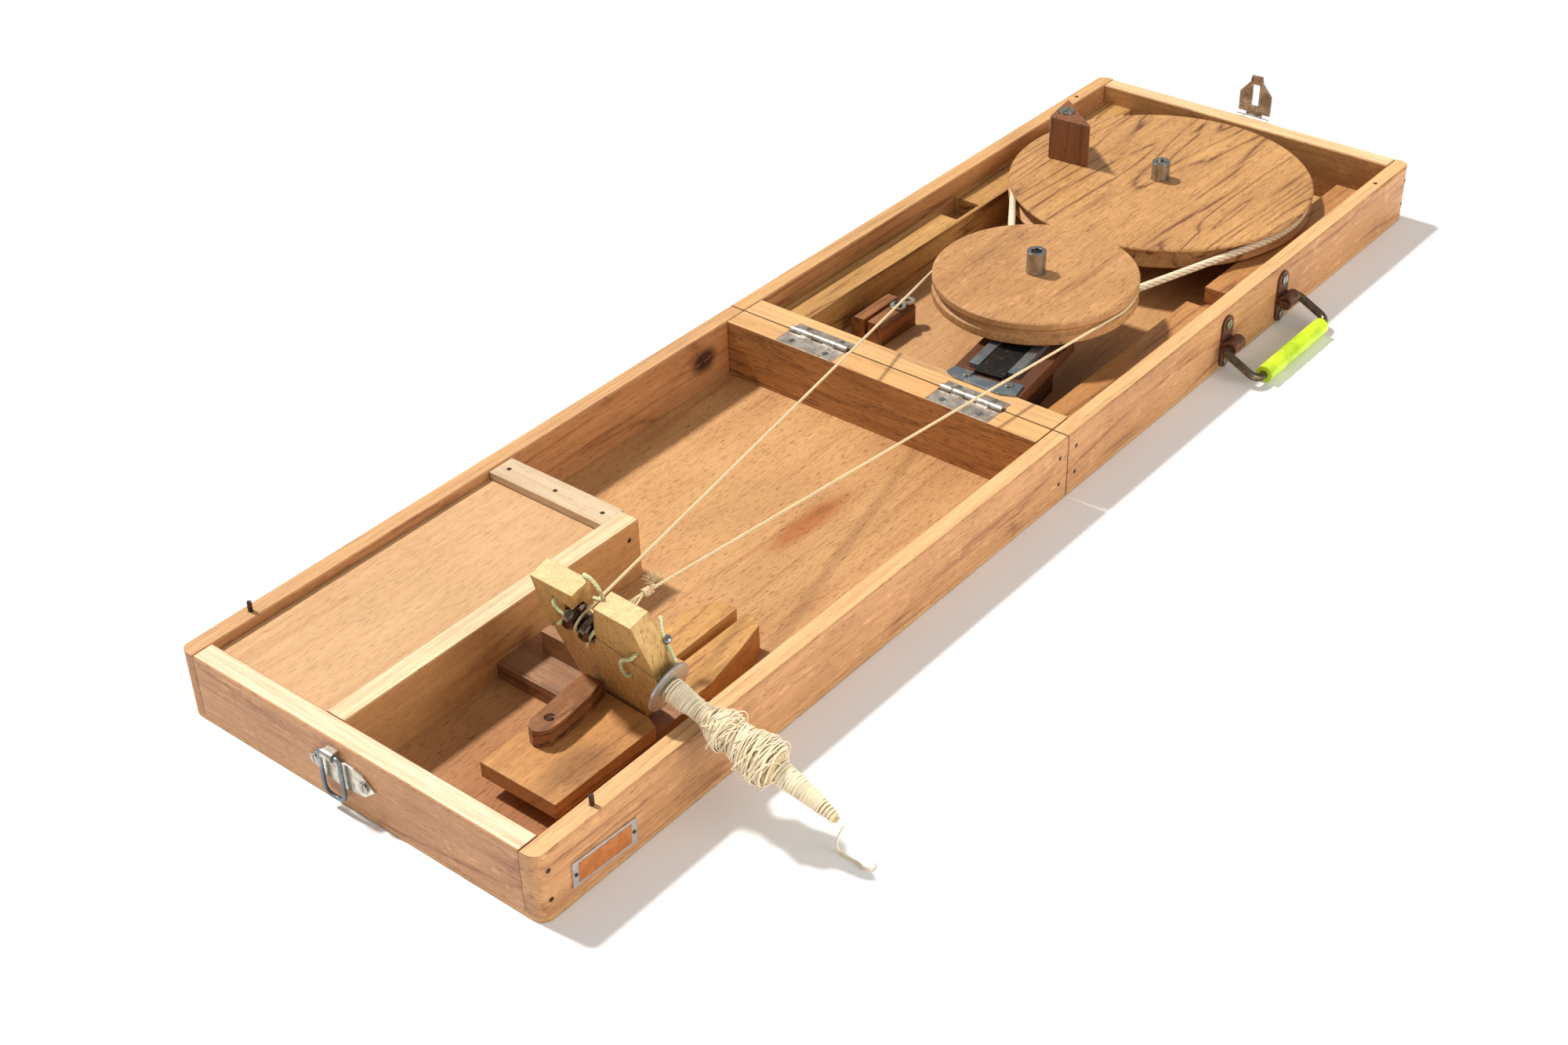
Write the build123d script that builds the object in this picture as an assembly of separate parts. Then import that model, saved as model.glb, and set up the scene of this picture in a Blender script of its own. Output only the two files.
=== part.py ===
from build123d import *
import math
import os

os.makedirs("parts", exist_ok=True)

# ---- driving dimensions (mm); x runs along the open case, hinge line at x = 0 ----
ORIGIN_X = 294.5
HALF_LENGTH = 413.0
HALF_WIDTH = 120.0
RIM = 39.2
FLOOR = 3.0
SIDE_BOARD = 11.0
END_BOARD = 12.5
HINGE_BOARD = 16.0
GAP = 0.5
CORNER = 7.0
INNER_Y = HALF_WIDTH - SIDE_BOARD
SEAM = 0.25

DRIVE_X, DRIVE_Y, DRIVE_R = 294.5, 0.0, 98.5
DRIVE_Z0, DRIVE_Z1 = 27.0, 40.5
BELT_Z, BELT_R = 33.5, 2.3
BELT_LINE_BIG, BELT_LINE_SMALL = 95.0, 16.2

ACC_X, ACC_Y, ACC_R = 112.2, -22.9, 61.4
ACC_Z0, ACC_Z1 = 44.0, 59.0
CORD_Z, CORD_R, CORD_LINE = 52.0, 0.75, 60.2

BEAM_YAW = 7.5
BEAM_AT = (16.0, -52.4)

HOLDER_AT = Vector(-296.6, -57.5, 23.3)
HOLDER_YAW, HOLDER_LEAN, HOLDER_THICK = 4.0, 16.0, 12.0

WHORL_AT = Vector(-307.4, -51.4, 70.4)
SPINDLE_DIR = Vector(0.026, -0.9585, -0.2838).normalized()
WHORL_LINE = 5.5

HINGE_SPANS = ((31.2, 72.5), (-76.7, -35.0))
BARREL_R = 2.5

TAIL_R = 0.6


def box(x0, x1, y0, y1, z0, z1):
    return Pos((x0 + x1) / 2, (y0 + y1) / 2, (z0 + z1) / 2) * Box(x1 - x0, y1 - y0, z1 - z0)


def disc(x, y, r, z0, z1):
    return Pos(x, y, (z0 + z1) / 2) * Cylinder(r, z1 - z0)


def rod(p, q, r):
    p, q = Vector(*p), Vector(*q)
    return extrude(Plane(origin=p, z_dir=q - p) * Circle(r), amount=(q - p).length)


def prism(points, z0, z1):
    outline = make_face(Polyline(*[(x, y, z0) for x, y in points], close=True))
    return extrude(outline, amount=z1 - z0, dir=(0, 0, 1))


def turned(profile, at, axis=(0, 0, 1)):
    """Solid of revolution from (radius, height) pairs about an axis through `at`."""
    face = make_face(Polyline(*[(r, 0, h) for r, h in profile], close=True))
    body = revolve(face, Axis.Z)
    return Plane(origin=at, z_dir=axis) * body


def corner_cut(sx, sy):
    """Material outside the rounded vertical corner of a case half."""
    cx, cy = sx * (HALF_LENGTH - CORNER), sy * (HALF_WIDTH - CORNER)
    x0, x1 = sorted((cx, cx + sx * (CORNER + 1)))
    y0, y1 = sorted((cy, cy + sy * (CORNER + 1)))
    return box(x0, x1, y0, y1, -1, RIM + 1) - disc(cx, cy, CORNER, -2, RIM + 2)


def eased(board, axis, size=0.8):
    """Break the two long top edges of a board."""
    edges = board.edges().filter_by(axis).sort_by(Axis.Z)[-2:]
    return chamfer(edges, size)


def screw(at, axis, head_r=2.6, head_h=1.0, shank_r=1.2, length=9.0):
    """Screw with the head's under side at `at`, pointing along `axis`."""
    head = Pos(0, 0, -head_h / 2) * Cylinder(head_r, head_h)
    shank = Pos(0, 0, length / 2) * Cylinder(shank_r, length)
    return Plane(origin=at, z_dir=axis) * (head + shank)


def slotted(one, at, axis, head_r=2.6, head_h=1.0):
    slot = Pos(0, 0, -head_h) * Box(head_r * 2.2, 0.7, 0.9)
    return one - Plane(origin=at, z_dir=axis) * slot


def save(name, *solids):
    moved = [Pos(-ORIGIN_X, 0, 0) * s for s in solids]
    shape = moved[0] if len(moved) == 1 else Compound(children=moved)
    export_step(shape, f"parts/{name}.step")


def nail(x, y, z, sy, length=18.0, r=1.3):
    return rod((x, y, z), (x, y - sy * length, z), r)


# ---- the two case halves: boards, floor and nails -------------------------------
# The hinge barrels lie along Y at the rim; their leaves sit in recesses in the boards.
hinge_grooves = [rod((0, a - 0.5, RIM), (0, b + 0.5, RIM), BARREL_R + 0.5) for a, b in HINGE_SPANS]
LEAF = {1: 8.0, -1: 15.5}
leaf_recess = {
    s: [box(*sorted((0, s * LEAF[s])), a - 0.2, b + 0.2, RIM - 1.2, RIM + 1) for a, b in HINGE_SPANS]
    for s in (1, -1)
}

leaf_screw_spots = {
    1: [(5.4, a + f * (b - a)) for a, b in HINGE_SPANS for f in (0.2, 0.8)],
    -1: [(-10.5, a + f * (b - a)) for a, b in HINGE_SPANS for f in (0.2, 0.8)],
}
leaf_screws = {
    s: [screw((x, y, RIM - 0.9), (0, 0, -1), head_r=2.2) for x, y in leaf_screw_spots[s]] for s in (1, -1)
}

BRACKET_X = (172.0, 240.0)
bracket_screw_spots = [(x, z) for x in BRACKET_X for z in (5.5, 29.5)]
bracket_screws = [
    screw((x, -HALF_WIDTH - 1.5, z), (0, 1, 0), head_r=3.0) for x, z in bracket_screw_spots
]

hasp_screw_spots = [(y, z) for y in (-7.0, 7.0) for z in (14.0, 28.0)]
hasp_screws = [screw((HALF_LENGTH + 1.4, y, z), (-1, 0, 0), head_r=2.4) for y, z in hasp_screw_spots]

keeper_screw_spots = [(22.7, 22.0), (-10.4, 21.6)]
keeper_screws = [
    screw((-HALF_LENGTH - 1.2, y, z), (1, 0, 0), head_r=2.9) for y, z in keeper_screw_spots
]

boards = {}
nails = {}
for s in (1, -1):
    nail_list = []
    for sy in (1, -1):
        for x in (s * 8.0, s * 406.7):
            for z in (12.0, 29.0):
                nail_list.append(nail(x, sy * HALF_WIDTH, z, sy))
    nails[s] = nail_list
    x0, x1 = sorted((s * GAP, s * HALF_LENGTH))
    for sy in (1, -1):
        y0, y1 = sorted((sy * INNER_Y, sy * HALF_WIDTH))
        side = eased(box(x0, x1, y0, y1, FLOOR, RIM), Axis.X) - corner_cut(s, sy)
        side = side - [n for n in nail_list if sy * n.center().Y > 0]
        if s == 1 and sy == -1:
            side = side - bracket_screws
        boards[(s, sy)] = side
    ex0, ex1 = sorted((s * (HALF_LENGTH - END_BOARD), s * HALF_LENGTH))
    end = eased(box(ex0, ex1, -INNER_Y + SEAM, INNER_Y - SEAM, FLOOR, RIM), Axis.Y) - nail_list
    boards[(s, "end")] = end - (hasp_screws if s == 1 else keeper_screws)
    hx0, hx1 = sorted((s * GAP, s * HINGE_BOARD))
    hinge = box(hx0, hx1, -INNER_Y + SEAM, INNER_Y - SEAM, FLOOR, RIM) - nail_list
    boards[(s, "hinge")] = hinge - hinge_grooves - leaf_recess[s] - leaf_screws[s]
    floor = box(x0, x1, -HALF_WIDTH, HALF_WIDTH, 0, FLOOR)
    boards[(s, "floor")] = floor - corner_cut(s, 1) - corner_cut(s, -1)

# Locating pins stand on the rim of the spindle half and drop into holes in the other rim.
PIN_X = 372.5
pins = [disc(-PIN_X, sy * 114.5, 1.25, RIM - 8, RIM + 5.6) for sy in (1, -1)]
pin_holes = [disc(PIN_X, sy * 114.5, 1.5, RIM - 9, RIM + 1) for sy in (1, -1)]
for sy in (1, -1):
    boards[(-1, sy)] = boards[(-1, sy)] - pins
    boards[(1, sy)] = boards[(1, sy)] - pin_holes

# Name plate: a thin framed plate with a plain field and two pins, tilted a little.
PLATE_AT = Pos(-373.3, -HALF_WIDTH, 14.6) * Rot(0, 3.5, 0)
plate = PLATE_AT * (Pos(0, -0.5, 0) * Box(41, 1.0, 14))
field = PLATE_AT * (Pos(0, -0.85, 0) * Box(34, 0.3, 11))
plate_pins = [PLATE_AT * rod((x, -1.4, 0), (x, 6, 0), 0.9) for x in (-18.7, 18.7)]
save("name_plate", plate - field - plate_pins, field)
boards[(-1, -1)] = boards[(-1, -1)] - plate_pins

save("wheel_case_left_board", boards[(1, 1)])
save("wheel_case_right_board", boards[(1, -1)])
save("wheel_case_end_board", boards[(1, "end")])
save("wheel_case_floor", boards[(1, "floor")])
save("spindle_case_left_board", boards[(-1, 1)])
save("spindle_case_right_board", boards[(-1, -1)])
save("spindle_case_end_board", boards[(-1, "end")])
save("spindle_case_hinge_board", boards[(-1, "hinge")])
save("spindle_case_floor", boards[(-1, "floor")])

# ---- hinges ----------------------------------------------------------------------
for s, node in ((1, "hinge_leaves_wheel"), (-1, "hinge_leaves_spindle")):
    leaves = []
    for a, b in HINGE_SPANS:
        pitch = (b - a) / 5
        x0, x1 = sorted((s * (BARREL_R + 0.6), s * LEAF[s]))
        leaf = box(x0, x1, a, b, RIM - 1.2, RIM)
        for i in range(5):
            if (i % 2 == 0) == (s == 1):
                ya, yb = a + i * pitch + 0.15, a + (i + 1) * pitch - 0.15
                tx0, tx1 = sorted((s * 1.4, s * (BARREL_R + 0.8)))
                leaf = leaf + box(tx0, tx1, ya, yb, RIM - 1.2, RIM)
                leaf = leaf + rod((0, ya, RIM), (0, yb, RIM), BARREL_R)
        leaf = leaf - rod((0, a - 1, RIM), (0, b + 1, RIM), 1.2)
        leaves.append(leaf - leaf_screws[s])
    save(node, *leaves)
save("hinge_pins", *[rod((0, a + 0.2, RIM), (0, b - 0.2, RIM), 1.15) for a, b in HINGE_SPANS])

# ---- wheel half: rails, storage block, tension beam -------------------------------
LEFT_NOTCH = box(190.5, 216, 88.6, 109, 15, 30)
left_rail = box(HINGE_BOARD, 400.5, 86, INNER_Y, FLOOR, 26.5) - LEFT_NOTCH
save("left_rail", left_rail)
right_rail = box(HINGE_BOARD, 380, -INNER_Y, -85, FLOOR, 26.5)
save("right_rail", right_rail - box(186, 208, -103, -84, 15, 30))

block = box(63, 98, 54, 77, FLOOR, 18)
block = chamfer(block.edges().filter_by(Axis.X).sort_by(Axis.Z)[-2:], 2.0)
block = block - box(62, 99, 64.5, 67.5, 8, 19)
CLIP_AT = (88.0, 60.0)
clip_nail = disc(*CLIP_AT, 1.2, 8, 20.2) + disc(*CLIP_AT, 2.4, 20.2, 21.0)
save("storage_block", block - disc(*CLIP_AT, 1.2, 8, 20.2))
save("wheel_case_nails", *nails[1], clip_nail)
lobes = disc(88.0, 60.0, 5.0, 18.4, 19.6) + disc(96.5, 58.8, 4.4, 18.4, 19.6)
lobes = lobes + box(88.0, 96.5, 57.0, 62.0, 18.4, 19.6)
save("storage_clip", lobes - disc(*CLIP_AT, 1.3, 17, 21) - disc(96.5, 58.8, 1.8, 17, 21))

beam_frame = Pos(BEAM_AT[0], BEAM_AT[1], 0) * Rot(0, 0, BEAM_YAW)
hinge_side = box(-30, HINGE_BOARD + 0.02, -100, 100, -1, 60)
BEAM_END = 69.0
plate_screw_spots = [(3.5, 12.0), (4.5, -14.0)]
plate_screws = [beam_frame * screw((x, y, RIM + 1.2), (0, 0, -1), head_r=2.6) for x, y in plate_screw_spots]
board_top = beam_frame * box(-6, BEAM_END, -24, 23.4, 32, RIM) - hinge_side - plate_screws
save("tension_board", board_top)
rib = beam_frame * box(-6, BEAM_END - 3, -13, 12, FLOOR, 32) - hinge_side - plate_screws
save("tension_rib", rib)
rails = [
    beam_frame * box(13.5, BEAM_END - 0.5, 9.9, 15.9, RIM, RIM + 3),
    beam_frame * box(14.2, BEAM_END - 0.5, -14.2, -8.2, RIM, RIM + 3),
]
save("channel_rails", *rails)
end_outline = [(11.7, -35.3), (14.6, -28.5), (21.1, -28.7), (27.4, -72.3), (15.7, -74.7), (11.7, -66)]
end_plate = prism(end_outline, RIM, RIM + 1.2) - plate_screws
end_plate = end_plate - beam_frame * box(4.6, 40, -8.2, 9.9, RIM - 1, RIM + 3)
save("tension_end_plate", end_plate)
boards[(1, "hinge")] = boards[(1, "hinge")] - plate_screws
save("wheel_case_hinge_board", boards[(1, "hinge")])

# The slider rides in the channel, steps down past the beam end and carries the axle.
slider = beam_frame * (
    box(8, 75, -7.9, 9.6, RIM + 0.1, RIM + 2.3)
    + box(72, 75, -7.9, 25, 19.5, RIM + 2.3)
    + box(72, 108, -7.9, 25, 19.5, 22.5)
)
axle_hole = disc(ACC_X, ACC_Y, 3.2, 10, 70)
save("slider_plate", slider - axle_hole, disc(ACC_X, ACC_Y, 3.2, 19.5, 72))

# ---- drive wheel -------------------------------------------------------------------
axle_block = box(DRIVE_X - 22, DRIVE_X + 22, -22, 22, FLOOR, 20) - disc(DRIVE_X, 0, 3.2, 2, 21)
save("axle_block", axle_block)
save("drive_axle", disc(DRIVE_X, DRIVE_Y, 3.2, FLOOR, 51.5))
drive_profile = [
    (5.9, DRIVE_Z0), (DRIVE_R - 1, DRIVE_Z0), (DRIVE_R, DRIVE_Z0 + 1), (DRIVE_R, BELT_Z - 4.9),
    (92.4, BELT_Z - 1.3), (92.4, BELT_Z + 1.3), (DRIVE_R, BELT_Z + 4.9), (DRIVE_R, DRIVE_Z1 - 1),
    (DRIVE_R - 1, DRIVE_Z1), (5.9, DRIVE_Z1),
]
drive_wheel = turned(drive_profile, (DRIVE_X, DRIVE_Y, 0))
KNOB_AT = (290.5, 71.5)
crank_screw = disc(*KNOB_AT, 2.0, 29, 69.1) + disc(*KNOB_AT, 5.3, 69.1, 70.7)
save("drive_wheel", drive_wheel - crank_screw)
save("drive_hub_tube", disc(DRIVE_X, DRIVE_Y, 5.9, 20.3, 52.5) - disc(DRIVE_X, DRIVE_Y, 3.25, 20, 53))
save("crank_screw", crank_screw - box(284, 297, 71.0, 72.0, 70.0, 71))
knob = prism([(276.7, 76.0), (279.5, 45.6), (306.9, 80.6)], DRIVE_Z1 + 0.3, 70.0)
knob = chamfer(knob.edges().filter_by(Axis.Z), 1.2)
save("crank_knob", knob - disc(*KNOB_AT, 2.1, 30, 71) - disc(*KNOB_AT, 5.6, 69.0, 71))

# ---- accelerator wheel with its belt pulley -----------------------------------------
acc_profile = [
    (5.8, ACC_Z0), (ACC_R - 1, ACC_Z0), (ACC_R, ACC_Z0 + 1), (ACC_R, CORD_Z - 2.6),
    (59.0, CORD_Z - 0.7), (59.0, CORD_Z + 0.7), (ACC_R, CORD_Z + 2.6), (ACC_R, ACC_Z1 - 1),
    (ACC_R - 1, ACC_Z1), (5.8, ACC_Z1),
]
save("accelerator_wheel", turned(acc_profile, (ACC_X, ACC_Y, 0)))
pulley_profile = [
    (5.8, 28), (19, 28), (19, BELT_Z - 4.6), (13.6, BELT_Z - 1.3), (13.6, BELT_Z + 1.3),
    (19, BELT_Z + 4.6), (19, 39), (15, 39.6), (15, ACC_Z0), (5.8, ACC_Z0),
]
save("belt_pulley", turned(pulley_profile, (ACC_X, ACC_Y, 0)))
save("accelerator_tube", disc(ACC_X, ACC_Y, 5.8, 22.8, 73) - disc(ACC_X, ACC_Y, 3.25, 22, 74))

# ---- belt and drive cord, each held by its two pulleys all the way round --------------
big, small = Vector(DRIVE_X, DRIVE_Y, BELT_Z), Vector(ACC_X, ACC_Y, BELT_Z)
toward = (small - big).normalized()
heading = math.degrees(math.atan2(toward.Y, toward.X))
spread = math.degrees(math.acos((BELT_LINE_BIG - BELT_LINE_SMALL) / (small - big).length))


def polar(centre, radius, angle):
    a = math.radians(angle)
    return Vector(centre.X + radius * math.cos(a), centre.Y + radius * math.sin(a), centre.Z)


big_a, big_b = polar(big, BELT_LINE_BIG, heading + spread), polar(big, BELT_LINE_BIG, heading - spread)
small_a = polar(small, BELT_LINE_SMALL, heading + spread)
small_b = polar(small, BELT_LINE_SMALL, heading - spread)
belt_path = Wire([
    Edge.make_line(big_a, small_a),
    Edge.make_three_point_arc(small_a, small + toward * BELT_LINE_SMALL, small_b),
    Edge.make_line(small_b, big_b),
    Edge.make_three_point_arc(big_b, big - toward * BELT_LINE_BIG, big_a),
])
belt = sweep(Plane(origin=big_a, z_dir=small_a - big_a) * Circle(BELT_R), path=belt_path)
save("drive_belt", belt)
print("belt length", round(belt_path.length, 1), "volume", round(belt.volume, 1),
      "section times length", round(math.pi * BELT_R ** 2 * belt_path.length, 1))

wheel = Vector(ACC_X, ACC_Y, CORD_Z)
pull = (wheel - WHORL_AT).normalized()
across = (pull - SPINDLE_DIR * pull.dot(SPINDLE_DIR)).normalized()
upward = across.cross(SPINDLE_DIR)
upward = upward if upward.Z > 0 else upward * -1


def plan_tangent(point, side):
    """Angle on the accelerator rim where a straight run from `point` touches it."""
    dx, dy = point.X - wheel.X, point.Y - wheel.Y
    base = math.degrees(math.atan2(dy, dx))
    return base - side * math.degrees(math.acos(CORD_LINE / math.hypot(dx, dy)))


whorl_top = WHORL_AT + upward * WHORL_LINE
whorl_low = WHORL_AT - upward * WHORL_LINE
start, stop = plan_tangent(whorl_top, 1), plan_tangent(whorl_low, -1)
wrap = (start - stop) % 360
steps = [6.0] + [(wrap - 12.0) / 8] * 8 + [6.0]
corners = []
radii = []
angle = start
for step in steps:
    corners.append(polar(wheel, CORD_LINE / math.cos(math.radians(step / 2)), angle - step / 2))
    radii.append(CORD_LINE * 0.98)
    angle -= step
for turn in (-60, 0, 60):
    reach = WHORL_LINE / math.cos(math.radians(30))
    t = math.radians(turn)
    corners.append(WHORL_AT + (across * -math.cos(t) + upward * math.sin(t)) * reach)
    radii.append(WHORL_LINE * 0.98)
print("cord corner radii", [round(r, 1) for r in radii])
# The cord is one length tied in a knot on the run to the lower side of the whorl.
KNOT_SHARE = 0.105
low_corner, last_corner = corners[-3], corners[-4]
run = last_corner - low_corner
knot = low_corner + run * KNOT_SHARE
tails = run.normalized() * 2.3
order = [knot - tails] + corners[-3:] + corners[:-3] + [knot + tails]
route = [(c.X, c.Y, c.Z) for c in order]
route_radii = radii[-3:] + radii[:-3]
cord_path = FilletPolyline(*route, radius=route_radii).wires()[0]
cord = sweep(Plane(origin=cord_path @ 0, z_dir=cord_path % 0) * Circle(CORD_R), path=cord_path)
print("cord length", round(cord_path.length, 1), "volume", round(cord.volume, 1),
      "section times length", round(math.pi * CORD_R ** 2 * cord_path.length, 1))
print("knot at", [round(v, 1) for v in knot])
save("drive_cord", cord, Pos(*knot) * Sphere(2.2))

# ---- handle and hasp -----------------------------------------------------------------
PIVOT_Y, PIVOT_Z = -126.2, 17.0
brackets = []
for x, s in zip(BRACKET_X, (-1, 1)):
    strip = box(x - 6, x + 6, -HALF_WIDTH - 1.5, -HALF_WIDTH, 6.8, 29)
    for z in (6.8, 29):
        strip = strip + rod((x, -HALF_WIDTH - 1.5, z), (x, -HALF_WIDTH, z), 6.0)
    eye = rod((x - 6, PIVOT_Y, PIVOT_Z), (x + 6, PIVOT_Y, PIVOT_Z), 4.6)
    web = box(x - 6, x + 6, PIVOT_Y, -HALF_WIDTH, PIVOT_Z - 2.2, PIVOT_Z + 2.2)
    bore = rod((x - 7, PIVOT_Y, PIVOT_Z), (x + 7, PIVOT_Y, PIVOT_Z), 2.55)
    brackets.append(strip + eye + web - bore - bracket_screws)
save("handle_brackets", *brackets)
REACH_Y, REACH_Z = -148.5, 5.6
bail_points = [
    (179.5, PIVOT_Y, PIVOT_Z), (161.5, PIVOT_Y, PIVOT_Z), (161.5, REACH_Y, REACH_Z),
    (249.5, REACH_Y, REACH_Z), (249.5, PIVOT_Y, PIVOT_Z), (232.5, PIVOT_Y, PIVOT_Z),
]
bail_path = FilletPolyline(*bail_points, radius=[3.5, 6, 6, 3.5]).wires()[0]
bail = sweep(Plane(origin=bail_path @ 0, z_dir=bail_path % 0) * Circle(2.5), path=bail_path)
save("handle_bail", bail)
grip = rod((170, REACH_Y, REACH_Z), (241, REACH_Y, REACH_Z), 5.2)
for i in range(5):
    x = 178 + i * 14
    ring = Pos(x, REACH_Y, REACH_Z) * Rot(0, 90, 0) * Torus(7.2, 2.4)
    grip = grip - ring
grip = grip - rod((169, REACH_Y, REACH_Z), (242, REACH_Y, REACH_Z), 2.5)
save("handle_grip", grip)
bracket_heads = [
    slotted(b, (x, -HALF_WIDTH - 1.5, z), (0, 1, 0), 3.0) for b, (x, z) in zip(bracket_screws, bracket_screw_spots)
]

HASP_X, HASP_Z = 417.6, 36.0
mount = box(HALF_LENGTH, HALF_LENGTH + 1.4, -12, 12, 8, 33)
for y0, y1 in ((-12, -6.2), (6.2, 12)):
    mount = mount + rod((HASP_X, y0, HASP_Z), (HASP_X, y1, HASP_Z), 2.6)
    mount = mount + box(HALF_LENGTH, HALF_LENGTH + 1.4, y0, y1, 33, HASP_Z + 1)
    mount = mount + box(HALF_LENGTH, HASP_X, y0, y1, HASP_Z - 2.6, HASP_Z - 1.3)
mount = mount - rod((HASP_X, -13, HASP_Z), (HASP_X, 13, HASP_Z), 1.3)
hasp_pin = rod((HASP_X, -12, HASP_Z), (HASP_X, 12, HASP_Z), 1.25)
save("hasp_mount", mount - hasp_screws, hasp_pin)
hasp = rod((HASP_X, -5.9, HASP_Z), (HASP_X, 5.9, HASP_Z), 2.6)
hasp = hasp + box(HASP_X + 1.2, HASP_X + 2.6, -5.9, 5.9, HASP_Z, 41)
strap_outline = Polyline(
    (HASP_X + 1.2, -12, 40.5), (HASP_X + 1.2, 12, 40.5), (HASP_X + 1.2, 12, 54.4),
    (HASP_X + 1.2, 5, 62.5), (HASP_X + 1.2, 4, 67.5), (HASP_X + 1.2, -4, 67.5),
    (HASP_X + 1.2, -5, 62.5), (HASP_X + 1.2, -12, 54.4), close=True)
strap = extrude(make_face(strap_outline), amount=1.4, dir=(1, 0, 0))
strap = strap - box(HASP_X, HASP_X + 4, -2.5, 2.5, 45.5, 61)
hasp = hasp + strap - rod((HASP_X, -13, HASP_Z), (HASP_X, 13, HASP_Z), 1.32)
save("hasp", hasp)

# ---- spindle half: divider, covered compartment, cross block -----------------------------
divider = box(-400.5, -199.5, 14.5, 27, FLOOR, RIM)
divider_nails = [rod((x, 14.5, z), (x, 24, z), 1.4) for x, z in ((-207, 30), (-209, 13))]
save("divider", chamfer(divider.edges().filter_by(Axis.X).sort_by(Axis.Z)[-2:], 0.6) - divider_nails)
compartment_end = box(-211, -202, 27, INNER_Y, FLOOR, 33.4)
slat_holes = [disc(-205.5, y, 1.2, 26, 38.6) for y in (34, 68, 102)]
slat_nails = [disc(-205.5, y, 1.2, 26, 38.6) for y in (34, 68, 102)]
save("compartment_slat", box(-214, -197, 27, 108.6, 33.4, 38.5) - slat_nails)
ledges = [box(-400.5, -211, 27, 32, 27, 30.8), box(-400.5, -211, 104, INNER_Y, 27, 30.8)]
save("compartment_end", compartment_end - slat_holes, *ledges)
save("cover_panel", box(-400.2, -214.4, 27.3, 108.7, 31, 34))

# ---- plank, fork and turn button ---------------------------------------------------------
PLANK_TOP, PLANK_LOW = 21.5, 12.7
button_pin = disc(-335, -52, 1.6, 5, 32.2)
plank = prism([(-369.5, -87.5), (-369.5, -39.5), (-296.5, -39.5), (-298.8, -80), (-302, -87.5)],
              PLANK_LOW, PLANK_TOP)
save("spindle_plank", plank - button_pin)
riser = box(-345, -306, -80, -46, FLOOR, PLANK_LOW)
cross_block = box(-306, -262, -84, 14.5, FLOOR, 12.7) + box(-286, -279, -26, 2, 12.7, 26)
save("cross_block", cross_block + riser - button_pin)
fork_outline = [
    (-275, -87.5), (-275, -39.5), (-240, -39.5), (-228, -41), (-216, -44.5), (-210, -49),
    (-209.5, -59.5), (-257, -60.5), (-257, -66), (-210, -66), (-209.2, -72), (-213, -77),
    (-235, -82.5), (-262, -87.5),
]
fork = prism(fork_outline, FLOOR, PLANK_TOP) - box(-276, -262, -90, -38, 2, PLANK_LOW)
save("spindle_fork", fork)
button_outline = [
    (-345.5, -55.5), (-347, -52.0), (-345.5, -48.0), (-341, -45.6), (-333, -45.0), (-312, -42.6),
    (-300.0, -43.0), (-299.9, -53.0), (-312, -56.5), (-333, -58.5), (-341, -58.2),
]
button = prism(button_outline, PLANK_TOP + 0.2, PLANK_TOP + 10)
tip_cut = Pos(-299, -48, PLANK_TOP + 12.5) * Rot(0, 24, 0) * Box(26, 20, 8)
button = button - tip_cut - disc(-335, -52, 1.7, 15, 40) - disc(-335, -52, 2.8, 30.4, 40)
save("turn_button", button)
button_pin = button_pin - disc(-335, -52, 3, 31.0, 33)
small_nails = nails[-1] + divider_nails + slat_nails + plate_pins + pins
save("spindle_case_nails", *small_nails, button_pin)

# ---- spindle holder: leaning forked board --------------------------------------------------
yaw, lean = math.radians(HOLDER_YAW), math.radians(HOLDER_LEAN)
along = Vector(-math.sin(yaw), -math.cos(yaw), 0)
level = Vector(math.cos(yaw), -math.sin(yaw), 0)
through = level * math.cos(lean) + Vector(0, 0, 1) * math.sin(lean)
rise = level * -math.sin(lean) + Vector(0, 0, 1) * math.cos(lean)


def on_holder(s, n, w):
    return HOLDER_AT + along * s + through * n + rise * w


def holder_prism(outline, n0, n1):
    face = make_face(Polyline(*[on_holder(s, n0, w) for s, w in outline], close=True))
    return extrude(face, amount=n1 - n0, dir=through)


body_outline = [
    (-31.6, 68.0), (-32.9, 46.3), (-24.7, 1.0), (-21.0, -9.0), (17.0, -9.0), (20.7, 1.0),
    (29.2, 14.3), (41.5, 33.5), (41.5, 40.5), (37.0, 72.2), (12.6, 71.0), (5.5, 52.0),
    (3.5, 43.0), (-14.5, 43.0), (-14.5, 50.0), (-7.9, 53.5), (-2.0, 70.5),
]
holder = holder_prism(body_outline, 0, HOLDER_THICK)
spindle_line = rod(WHORL_AT - SPINDLE_DIR * 20, WHORL_AT + SPINDLE_DIR * 70, 1.75)
whorl_room = rod(WHORL_AT - SPINDLE_DIR * 9, WHORL_AT + SPINDLE_DIR * 9, 9.2)
kerf = holder_prism([(2.0, 44.2), (2.0, 45.6), (42.5, 39.8), (42.5, 38.4)], -1, 3.2)
foot_room = box(-282.6, -270, -110, -20, 0, 30)
cord_room = []
for near, far in ((corners[-3], corners[-4]), (corners[-1], corners[0])):
    heading_out = (far - near).normalized()
    cord_room.append(rod(near - heading_out * 4, near + heading_out * 30, 2.0))
holder = holder - spindle_line - whorl_room - kerf - foot_room - cord_room
TIE_HOLES = ((-18.0, 59.6), (33.5, 52.1), (21.8, 29.3))
string_holes = [rod(on_holder(s, -1, w), on_holder(s, HOLDER_THICK + 1, w), 1.5)
                for s, w in TIE_HOLES]
holder = holder - string_holes
save("spindle_holder", *holder.solids())

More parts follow.
